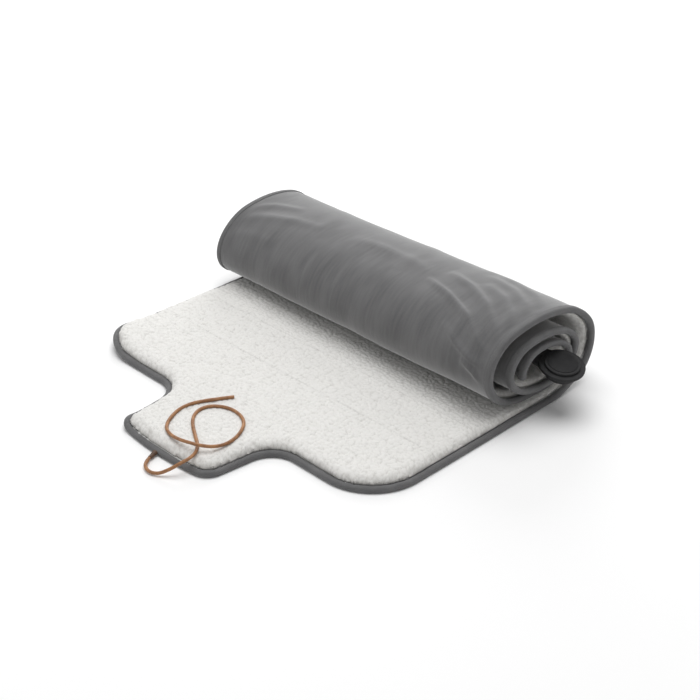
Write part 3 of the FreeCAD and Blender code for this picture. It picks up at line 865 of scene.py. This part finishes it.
CORD_R = 2.0
BLUNT_END = 0.93
SLEEVE_R = (3.1, 2.35)
CORD_ROUTE = [
    (11.5, -350.3, 3.3), (14.3, -357.8, 3.2), (22.5, -364.6, 2.7), (33, -366.5, 2.4), (43, -362, 3.4),
    (51, -353.5, 8.5), (57.5, -344, 14.8), (60.5, -332, 17.8),
    (56.5, -320.5, 17.7), (47, -310, 17.6), (33, -301.5, 17.6), (14.5, -290.5, 17.5), (0, -279.5, 17.5),
    (-8.5, -267, 17.5), (-9.5, -253, 17.5), (0.5, -240.5, 17.5), (16, -234.5, 17.5), (34, -236, 17.5),
    (49.5, -244.5, 17.5), (60, -259.5, 17.5), (66, -275, 17.5), (67.5, -290, 18.5), (64.5, -304, 21),
    (55.5, -315, 24.2), (42, -320, 24.2), (26, -320.5, 21), (10, -318.5, 18), (-4, -314, 17.6),
    (-14.5, -303.5, 17.5), (-22.5, -289, 17.5), (-27, -274.5, 17.5), (-26, -259.5, 17.5),
    (-19.5, -244.5, 17.5), (-10.5, -229, 17.5), (-2.5, -215.5, 17.5),
]
SLEEVE_ROUTE = [(8.0, -339.2, 3.9), (9.2, -343.5, 3.6), (11.5, -350.3, 3.3)]


def centreline(points):
    """The smooth line that a NURBS spline with these control points follows, in metres."""
    curve = bpy.data.curves.new("cord_line", "CURVE")
    curve.dimensions = "3D"
    spline = curve.splines.new("NURBS")
    spline.points.add(len(points) - 1)
    for control, place in zip(spline.points, points):
        control.co = (*(np.array(place) * MM), 1)
    spline.order_u = 3
    spline.use_endpoint_u = True
    spline.resolution_u = 10
    carrier = bpy.data.objects.new("cord_line", curve)
    bpy.context.scene.collection.objects.link(carrier)
    bare = plain_mesh(carrier, "cord_line_mesh")
    line = np.array([vertex.co for vertex in bare.data.vertices])
    bpy.data.objects.remove(bare)
    return line


def tube_along(name, line, radius, sides=14, roughness=0.0, blunt=True):
    """A closed tube round a line in metres; radius is one number for each point, in millimetres."""
    tangent = np.gradient(line, axis=0)
    tangent /= np.linalg.norm(tangent, axis=1)[:, None]
    along = np.concatenate([[0], np.cumsum(np.linalg.norm(np.diff(line, axis=0), axis=1))]) / MM
    side = np.cross(tangent, [0, 0, 1.0])
    side /= np.linalg.norm(side, axis=1)[:, None]
    over = np.cross(side, tangent)
    turn = np.linspace(0, 2 * np.pi, sides, endpoint=False)
    a, phi = np.meshgrid(along, turn, indexing="ij")
    lumps = roughness * (value_noise(a, phi * 2.2, 7.0, 91) + 0.5 * value_noise(a, phi * 3.1, 2.6, 92))
    squared = 0.035 * np.cos(4 * phi)
    r = (np.broadcast_to(np.asarray(radius, float), along.shape)[:, None] * (1 + squared) + lumps) * MM
    sideways, upward = np.cos(phi) * r, np.sin(phi) * r
    rings = line[:, None] + sideways[..., None] * side[:, None] + upward[..., None] * over[:, None]
    if blunt:
        for end in (0, -1):
            rings[end] = line[end] + (rings[end] - line[end]) * BLUNT_END
    uv = np.stack([a.ravel(), (phi * CORD_R).ravel()], -1)
    return capped_tube(name, rings / MM, uv)


def make_cord():
    line = centreline(CORD_ROUTE)
    cord = tube_along("tie_cord_leather", line, CORD_R, 16, 0.07)
    sleeve_line = centreline(SLEEVE_ROUTE)
    radius = np.linspace(*SLEEVE_R, len(sleeve_line))
    sleeve = tube_along("cord_root_sleeve", sleeve_line, radius, 16, 0.16)
    return cord, sleeve, line


# ---- the tongue that carries the pod ----

POD_TILT = math.radians(12)
POD_TILT_AZIMUTH = math.radians(-22)
POD_CENTRE = (262.0, 54.0, 58.5)
FLANGE_R = 27.0
FLANGE_T = 1.8
TONGUE_GAP = 0.15
TONGUE_ROOT = (192.0, 44.0, 64.6)
TONGUE_EXIT = (224.0, 44.0, 64.7)
TONGUE_HALF_WIDTH = 17.5
TONGUE_FLARE = 4.5
TONGUE_HALF_THICK = 1.25
# Where the tongue meets the flange and where it stops under it, as shares of the flange's radius
TONGUE_REACH = (0.93, 0.45)


def pod_axes():
    up = Vector((math.sin(POD_TILT) * math.cos(POD_TILT_AZIMUTH),
                 math.sin(POD_TILT) * math.sin(POD_TILT_AZIMUTH), math.cos(POD_TILT)))
    out = (Vector((1, 0, 0)) - up * up.x).normalized()
    return np.array(out), np.array(up.cross(out)), np.array(up)


def make_tongue():
    """A rubber strap from the core of the roll that widens, twists and runs under the pod's flange."""
    out, along, up = pod_axes()
    centre = np.array(POD_CENTRE) - up * (FLANGE_T + TONGUE_GAP + TONGUE_HALF_THICK)
    root, start = np.array(TONGUE_ROOT), np.array(TONGUE_EXIT)
    flat_across, flat_up = np.array([0, 1.0, 0]), np.array([0, 0, 1.0])
    stations = [(root * (1 - f) + start * f, flat_across, flat_up, TONGUE_HALF_WIDTH)
                for f in np.linspace(0, 1, 12)]
    for f in np.linspace(0.08, 1, 14):
        reach = FLANGE_R * (TONGUE_REACH[0] * (1 - f) + TONGUE_REACH[1] * f)
        target = centre - out * reach
        turn = smooth(f, 0, 0.75)
        arrived = smooth(f, 0, 0.62)
        width_axis = flat_across * (1 - turn) + along * turn
        thick_axis = flat_up * (1 - turn) + up * turn
        stations.append((start * (1 - arrived) + target * arrived,
                         width_axis / np.linalg.norm(width_axis), thick_axis / np.linalg.norm(thick_axis),
                         TONGUE_HALF_WIDTH + TONGUE_FLARE * smooth(f, 0.15, 0.95)))
    section = []
    for phi in np.linspace(0, 2 * np.pi, 28, endpoint=False):
        c, s = math.cos(phi), math.sin(phi)
        section.append((math.copysign(abs(c) ** 0.25, c), math.copysign(abs(s) ** 0.8, s)))
    rings = [[place + w * (half * a) + t * (TONGUE_HALF_THICK * b) for a, b in section]
             for place, w, t, half in stations]
    uv = np.zeros((len(stations) * len(section), 2))
    return capped_tube("pod_tongue", np.array(rings), uv)


# ---- materials ----

class Value:
    """A number flowing through a material's nodes; arithmetic on it adds Math nodes."""

    def __init__(self, tree, socket):
        self.tree = tree
        self.socket = socket

    def math(self, operation, *others):
        node = self.tree.nodes.new("ShaderNodeMath")
        node.operation = operation
        for slot, value in zip(node.inputs, others):
            if isinstance(value, Value):
                self.tree.links.new(value.socket, slot)
            else:
                slot.default_value = value
        return Value(self.tree, node.outputs[0])

    def __add__(self, other):
        return self.math("ADD", self, other)

    def __sub__(self, other):
        return self.math("SUBTRACT", self, other)

    def __rsub__(self, other):
        return self.math("SUBTRACT", other, self)

    def __mul__(self, other):
        return self.math("MULTIPLY", self, other)

    __radd__ = __add__
    __rmul__ = __mul__

    def sine(self):
        return self.math("SINE", self)

    def between(self, low, high):
        """0 below low, 1 above high, smooth between."""
        node = self.tree.nodes.new("ShaderNodeMapRange")
        node.interpolation_type = "SMOOTHSTEP"
        self.tree.links.new(self.socket, node.inputs["Value"])
        node.inputs["From Min"].default_value = low
        node.inputs["From Max"].default_value = high
        return Value(self.tree, node.outputs["Result"])


class Finish:
    """One material: node() adds any node, and the rest are short names for what is used often."""

    def __init__(self, name, **surface):
        self.material = bpy.data.materials.new(name)
        self.material.use_nodes = True
        self.tree = self.material.node_tree
        self.tree.nodes.clear()
        self.out = self.tree.nodes.new("ShaderNodeOutputMaterial")
        self.surface = self.node("ShaderNodeBsdfPrincipled", {}, **surface)
        self.tree.links.new(self.surface.outputs[0], self.out.inputs["Surface"])

    def node(self, kind, settings, **sockets):
        node = self.tree.nodes.new(kind)
        for key, value in settings.items():
            setattr(node, key, value)
        for key, value in sockets.items():
            self.feed(node.inputs[key.replace("_", " ")], value)
        return node

    def feed(self, socket, value):
        if isinstance(value, Value):
            value = value.socket
        if isinstance(value, bpy.types.NodeSocket):
            self.tree.links.new(value, socket)
        else:
            socket.default_value = value

    def value(self, node, output=0):
        return Value(self.tree, node.outputs[output])

    def place(self, scale=(1, 1, 1), cloth=False):
        """Object coordinates, or the cloth's own run and width, stretched by scale."""
        where = self.node("ShaderNodeTexCoord", {})
        moved = self.node("ShaderNodeMapping", {})
        self.feed(moved.inputs["Vector"], where.outputs["UV" if cloth else "Object"])
        moved.inputs["Scale"].default_value = scale
        return moved.outputs[0]

    def noise(self, size, place, detail=3.0, roughness=0.55):
        """Noise from 0 to 1 whose lumps are about size millimetres."""
        made = self.node("ShaderNodeTexNoise", {}, Vector=place, Scale=1000.0 / size, Detail=detail,
                         Roughness=roughness)
        return self.value(made)

    def attribute(self, name):
        return self.value(self.node("ShaderNodeAttribute", {"attribute_name": name}), "Fac")

    def blend(self, amount, first, second):
        node = self.node("ShaderNodeMix", {"data_type": "RGBA"})
        self.feed(node.inputs[0], amount)
        for slot, colour in ((6, first), (7, second)):
            self.feed(node.inputs[slot], (*colour, 1) if isinstance(colour, tuple) else colour)
        return node.outputs[2]

    def colour(self, value):
        self.feed(self.surface.inputs["Base Color"], (*value, 1) if isinstance(value, tuple) else value)

    def rough(self, value):
        self.feed(self.surface.inputs["Roughness"], value)

    def relief(self, height, depth):
        """Bump of depth millimetres where height goes from 0 to 1."""
        bump = self.node("ShaderNodeBump", {}, Height=height, Strength=1.0, Distance=depth * MM)
        self.feed(self.surface.inputs["Normal"], bump.outputs[0])


def cover_finish():
    """Brushed jersey: soft streaks round the roll, fine knit, and a short nap that catches light."""
    finish = Finish("brushed_jersey", Sheen_Weight=1.0, Sheen_Roughness=0.4, Specular_IOR_Level=0.2)
    cloth = finish.place(cloth=True)
    streaks = finish.noise(4.0, finish.place((1, 0.1, 1), cloth=True), 4.0)
    broad = finish.noise(30.0, finish.place((1, 0.4, 1), cloth=True), 2.0)
    nap = finish.noise(1.3, cloth, 3.0, 0.7)
    tone = streaks * 0.27 + broad * 0.4 + nap * 0.33
    finish.colour(finish.blend(tone.between(0.28, 0.72), (0.088, 0.088, 0.090), (0.165, 0.164, 0.166)))
    finish.rough(0.8 + nap * 0.2)
    finish.relief(nap * 0.5 + streaks * 0.5, 0.42)
    return finish.material


def fleece_finish():
    """Curly fleece: nearly white curl tops, warm grey painted shade in the creases, fine fibre."""
    finish = Finish("curly_fleece", Sheen_Weight=0.25, Sheen_Roughness=0.6, Specular_IOR_Level=0.15)
    place = finish.place()
    fibre = finish.noise(1.2, place, 4.0, 0.7)
    patches = finish.noise(26.0, place, 2.0)
    # painted shade: low values of the painted shade attribute pull the colour toward the crease grey
    depth = (finish.attribute("painted_shade_and_tone") + (fibre - 0.5) * 0.35).between(0.12, 0.8)
    # the crease greys are painted shade, varied by random patches
    crease = finish.blend(patches, (0.53, 0.515, 0.485), (0.61, 0.595, 0.57))
    finish.colour(finish.blend(depth, crease, (0.80, 0.79, 0.765)))
    finish.rough(0.9 + fibre * 0.1)
    finish.relief(fibre, 0.7)
    return finish.material


def tape_finish():
    """Woven tape: ribs across its run, each painted a little lighter on top as a highlight."""
    finish = Finish("woven_tape", Sheen_Weight=0.2, Sheen_Roughness=0.5, Specular_IOR_Level=0.25)
    cloth = finish.place(cloth=True)
    run_along = finish.value(finish.node("ShaderNodeSeparateXYZ", {}, Vector=cloth), 0)
    rib = (run_along * (2000 * math.pi / 1.15)).sine() * 0.5 + 0.5
    fuzz = finish.noise(1.4, cloth, 3.0, 0.7)
    wear = finish.noise(24.0, cloth, 2.0)
    # painted highlight and shade: the ribs' tops are coloured lighter and their grooves darker; fuzz and wear
    # are the tape's own random tone
    tone = rib * 0.25 + fuzz * 0.45 + wear * 0.35
    finish.colour(finish.blend(tone.between(0.25, 0.85), (0.085, 0.085, 0.087), (0.19, 0.189, 0.19)))
    finish.rough(0.72 + fuzz * 0.2)
    finish.relief(rib * 0.6 + fuzz * 0.5, 0.22)
    return finish.material


def thread_finish():
    finish = Finish("sewing_thread", Specular_IOR_Level=0.35)
    twist = finish.noise(0.7, finish.place(), 2.0)
    finish.colour(finish.blend(twist, (0.10, 0.10, 0.102), (0.23, 0.23, 0.232)))
    finish.rough(0.6 + twist * 0.2)
    finish.relief(twist, 0.08)
    return finish.material


def leather_finish(name, dark, light):
    """Round leather lace: long grain along it, small pores, darker where it is worn."""
    finish = Finish(name, Specular_IOR_Level=0.45)
    cloth = finish.place(cloth=True)
    grain = finish.noise(1.6, finish.place((0.25, 1, 1), cloth=True), 4.0, 0.65)
    pores = finish.noise(0.55, cloth, 2.0)
    wear = finish.noise(14.0, cloth, 2.0)
    tone = grain * 0.55 + wear * 0.45 + pores * 0.1
    finish.colour(finish.blend(tone.between(0.32, 0.75), dark, light))
    finish.rough(0.42 + grain * 0.2)
    finish.relief(grain * 0.6 + pores * 0.4, 0.18)
    return finish.material


def moulded_finish(name, base, top, rough, grain, depth, specular):
    """Moulded plastic or rubber with a fine even texture and faint handling marks."""
    finish = Finish(name, Specular_IOR_Level=specular)
    place = finish.place()
    texture = finish.noise(grain, place, 2.0)
    marks = finish.noise(9.0, place, 3.0)
    finish.colour(finish.blend(marks.between(0.3, 0.75), base, top))
    finish.rough(rough + (marks - 0.5) * 0.12)
    finish.relief(texture, depth)
    return finish.material


def film_finish():
    """Dark printed heating film with pale rungs across it."""
    finish = Finish("heating_film", Specular_IOR_Level=0.5)
    run_along = finish.value(finish.node("ShaderNodeSeparateXYZ", {}, Vector=finish.place(cloth=True)), 1)
    rung = ((run_along * (2000 * math.pi / 12)).sine() * 0.5 + 0.5).between(0.75, 0.85)
    finish.colour(finish.blend(rung, (0.02, 0.02, 0.022), (0.09, 0.09, 0.095)))
    finish.rough(0.35 + rung * 0.15)
    return finish.material


def metal_finish(name, base, top, rough):
    finish = Finish(name, Metallic=1.0)
    brushed = finish.noise(1.0, finish.place((0.15, 1, 1)), 3.0)
    finish.colour(finish.blend(brushed, base, top))
    finish.rough(rough + brushed * 0.15)
    return finish.material


def dressed(piece, material):
    piece.data.materials.clear()
    piece.data.materials.append(material)
    return piece


# ---- putting the pieces together ----

def rides(pieces, body, *nodes):
    for piece in pieces:
        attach(piece, body)
    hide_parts(*nodes)


def bends(pieces, number, *nodes):
    """Pieces that cross fold number, each baked where it stands; the nodes they stand for are hidden."""
    for piece in pieces:
        FLAT_CHAIN[number + 1]
        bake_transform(piece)
    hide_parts(*nodes)


def layers_of(part):
    layers = ("cover", "wadding", "heater_film", "bus_bars", "pile", "binding")
    return [part + "_" + layer for layer in layers]


# ---- floor, lights and camera, in metres ----

FLOOR_REACH = 9.0
FLOOR_Z = -0.0003
# Each soft light: place, what it points at, size across and watts
LIGHTS = {
    "overhead": ((-0.2, 0.3, 3.0), (0, -0.05, 0), 3.0, 72),
    "back": ((-1.5, 1.7, 1.0), (0, 0.05, 0.1), 1.4, 27),
    "front_left": ((-1.5, -1.7, 1.3), (0, -0.1, 0.05), 1.2, 6),
}
SKY_STRENGTH = 0.36
CAMERA_PLACE = (1.07026, -1.08578, 0.86688)
CAMERA_TARGET = (-0.00755, -0.02161, 0.0)
LENS = 71.58


def floor_finish():
    finish = Finish("pale_floor", Specular_IOR_Level=0.1)
    tone = finish.noise(300.0, finish.place(), 1.0)
    finish.colour(finish.blend(tone, (0.93, 0.93, 0.93), (0.95, 0.95, 0.95)))
    finish.rough(0.9 + tone * 0.05)
    return finish.material


def make_stage():
    mesh = bpy.data.meshes.new("floor")
    corners = [(-1, -1), (1, -1), (1, 1), (-1, 1)]
    mesh.from_pydata([(x * FLOOR_REACH, y * FLOOR_REACH, FLOOR_Z) for x, y in corners], [], [(0, 1, 2, 3)])
    floor = bpy.data.objects.new("floor", mesh)
    bpy.context.scene.collection.objects.link(floor)
    floor.data.materials.append(floor_finish())


def soft_light(name, place, target, size, watts):
    light = bpy.data.lights.new(name, "AREA")
    light.shape = "DISK"
    light.size = size
    light.energy = watts
    lamp = bpy.data.objects.new(name, light)
    bpy.context.scene.collection.objects.link(lamp)
    aim(lamp, place, target)


def aim(thing, place, target):
    toward = (Vector(target) - Vector(place)).to_track_quat("-Z", "Y")
    thing.matrix_world = Matrix.Translation(place) @ toward.to_matrix().to_4x4()


def make_light():
    world = bpy.data.worlds.new("studio")
    bpy.context.scene.world = world
    world.use_nodes = True
    sky = world.node_tree.nodes["Background"]
    sky.inputs["Color"].default_value = (1, 1, 1, 1)
    sky.inputs["Strength"].default_value = SKY_STRENGTH
    for name, settings in LIGHTS.items():
        soft_light(name, *settings)


def make_camera():
    lens = bpy.data.cameras.new("studio_camera")
    lens.sensor_width = 36.0
    lens.lens = LENS
    lens.clip_start = 0.01
    lens.clip_end = 50.0
    camera = bpy.data.objects.new("studio_camera", lens)
    bpy.context.scene.collection.objects.link(camera)
    aim(camera, CAMERA_PLACE, CAMERA_TARGET)
    bpy.context.scene.camera = camera


# ---- every finish of the object ----

# Each moulded finish: its name, base and top colours, roughness, grain size, relief depth and specular level
MOULDED = {
    "wadding": ("polyester_wadding", (0.62, 0.62, 0.60), (0.75, 0.75, 0.73), 0.95, 1.2, 0.4, 0.5),
    "shell": ("matt_moulded_shell", (0.019, 0.019, 0.020), (0.028, 0.028, 0.029), 0.58, 0.5, 0.05, 0.25),
    "rubber": ("soft_black_rubber", (0.02, 0.02, 0.021), (0.032, 0.032, 0.033), 0.6, 0.7, 0.06, 0.5),
    "button": ("button_rubber", (0.015, 0.015, 0.016), (0.022, 0.022, 0.023), 0.6, 0.6, 0.05, 0.2),
    "board": ("board_lacquer", (0.02, 0.10, 0.035), (0.03, 0.16, 0.05), 0.4, 1.0, 0.05, 0.5),
    "chip": ("chip_resin", (0.012, 0.012, 0.012), (0.02, 0.02, 0.02), 0.45, 0.4, 0.02, 0.5),
    "inlet": ("inlet_plastic", (0.012, 0.012, 0.013), (0.02, 0.02, 0.021), 0.38, 0.5, 0.03, 0.5),
}
# Each metal: its name, two colours and roughness
METALS = {
    "copper": ("copper_strip", (0.72, 0.34, 0.2), (0.85, 0.45, 0.28), 0.3),
    "steel": ("screw_steel", (0.45, 0.45, 0.46), (0.6, 0.6, 0.61), 0.28),
}
# Each leather: its name, dark and light colour
LEATHERS = {
    "leather": ("leather_lace", (0.165, 0.066, 0.026), (0.47, 0.235, 0.105)),
    # the root sleeve's leather is coloured darker than the lace
    "root": ("dark_leather_root", (0.05, 0.026, 0.016), (0.17, 0.09, 0.05)),
}


def finishes():
    made = {"cover": cover_finish(), "fleece": fleece_finish(), "tape": tape_finish(),
            "thread": thread_finish(), "film": film_finish()}
    for table, make in ((MOULDED, moulded_finish), (METALS, metal_finish), (LEATHERS, leather_finish)):
        for key, settings in table.items():
            made[key] = make(*settings)
    return made


# The finish and the colour slot of each part that keeps its engineering shape
HARD_PARTS = {
    ("shell", "pod_shell"): ("pod_base", "pod_top"),
    ("rubber", "tongue_rubber"): ("pod_seal", "lead_ribbon"),
    ("steel", "screw_steel"): ("pod_screws", "thermal_cutouts"),
    ("board", "board_green"): ("circuit_board",),
    ("chip", "chip_black"): ("tact_switch", "main_chip", "power_transistors", "switch_plunger",
                             "temperature_sensor"),
    ("inlet", "inlet_plastic"): ("inlet_socket",),
    ("copper", "copper"): ("inlet_contacts",),
    ("button", "button_rubber"): ("power_button",),
}
# The hidden layers, with the finish and the colour slot of each
LAYER_FINISHES = [("wadding", "wadding", "wadding_fibre"), ("heater_film", "film", "heating_film"),
                  ("bus_bars", "copper", "copper")]


def build():
    look = finishes()
    outer, inner = make_cover()
    flat_cover = make_flat_cover()
    for piece in [outer, inner] + flat_cover:
        dressed(piece, look["cover"])
    rolled_fleece, flat_fleece = make_rolled_fleece(), make_flat_fleece()
    for piece in [rolled_fleece] + flat_fleece:
        dressed(piece, look["fleece"])
    tape = make_tape()
    for piece in tape:
        dressed(piece, look["tape"])
    hidden = make_inner_layers()
    for layer, finish, slot in LAYER_FINISHES:
        for piece in hidden[layer]:
            dressed(piece, look[finish])
    stitches = make_stitches(look["thread"])
    cord, sleeve, cord_line = make_cord()
    dressed(cord, look["leather"])
    dressed(sleeve, look["root"])
    tongue = dressed(make_tongue(), look["rubber"])
    for (finish, slot), names in HARD_PARTS.items():
        for name in names:
            dressed(bpy.data.objects[name], look[finish])

    def parts(i):
        return [hidden["wadding"][i], hidden["heater_film"][i], hidden["bus_bars"][i], tape[i], stitches[i]]

    rides([outer, inner, rolled_fleece] + parts(0), "roll", *layers_of("rolled"))
    for i in range(3):
        nodes = layers_of(FLAT_CHAIN[i + 1])
        bends([flat_cover[i], flat_fleece[i]] + parts(i + 1), i, *nodes)
    rides([cord], "front_panel", "tie_cord")
    rides([sleeve], "front_panel", "cord_sleeve")
    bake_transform(tongue)
    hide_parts("tongue", "tongue_anchor")

    declare_soft([outer, inner] + flat_cover, [rolled_fleece] + flat_fleece, tape, stitches)
    length = float(np.linalg.norm(np.diff(cord_line, axis=0), axis=1).sum())
    tuple(cord_line[0])
    [tuple(p) for p in cord_line]


def front_area():
    """The area of the front panel with its rounded corners and tab, in square metres."""
    border = outline_points(1.0)
    border = border[border[:, 1] <= FLAT_SPLITS[2]]
    x, y = border.T
    return float(abs((x * np.roll(y, -1) - np.roll(x, -1) * y).sum()) / 2) * MM * MM


def declare_soft(covers, fleeces, tape, stitches):
    near = (FLAT_SPLITS[0] - FLAT_SPLITS[1]) * MM
    middle = (FLAT_SPLITS[1] - FLAT_SPLITS[2]) * MM
    front = (FLAT_SPLITS[2] - FRONT_Y + TAB["length"]) * MM
    rolled = (ROLL_LENGTH - ROLL_PIECES_START) * MM
    outer = (FIRST_TURN - ROLL_PIECES_START) * MM
    inner = (ROLL_LENGTH - FIRST_TURN) * MM
    lengths = [outer, inner, near, middle, front]
    for i, (piece, length) in enumerate(zip(covers, lengths)):
        area = front_area() if i == 4 else None
        going = [] if i == 1 else [tape[max(0, i - 1)], stitches[max(0, i - 1)]]
        "folded" if i < 2 else "laid"
    for i, (piece, length) in enumerate(zip(fleeces, [rolled, near, middle, front])):
        area = front_area() if i == 3 else None


build()
make_stage()
make_light()
make_camera()
bpy.context.scene.view_settings.view_transform = "Standard"
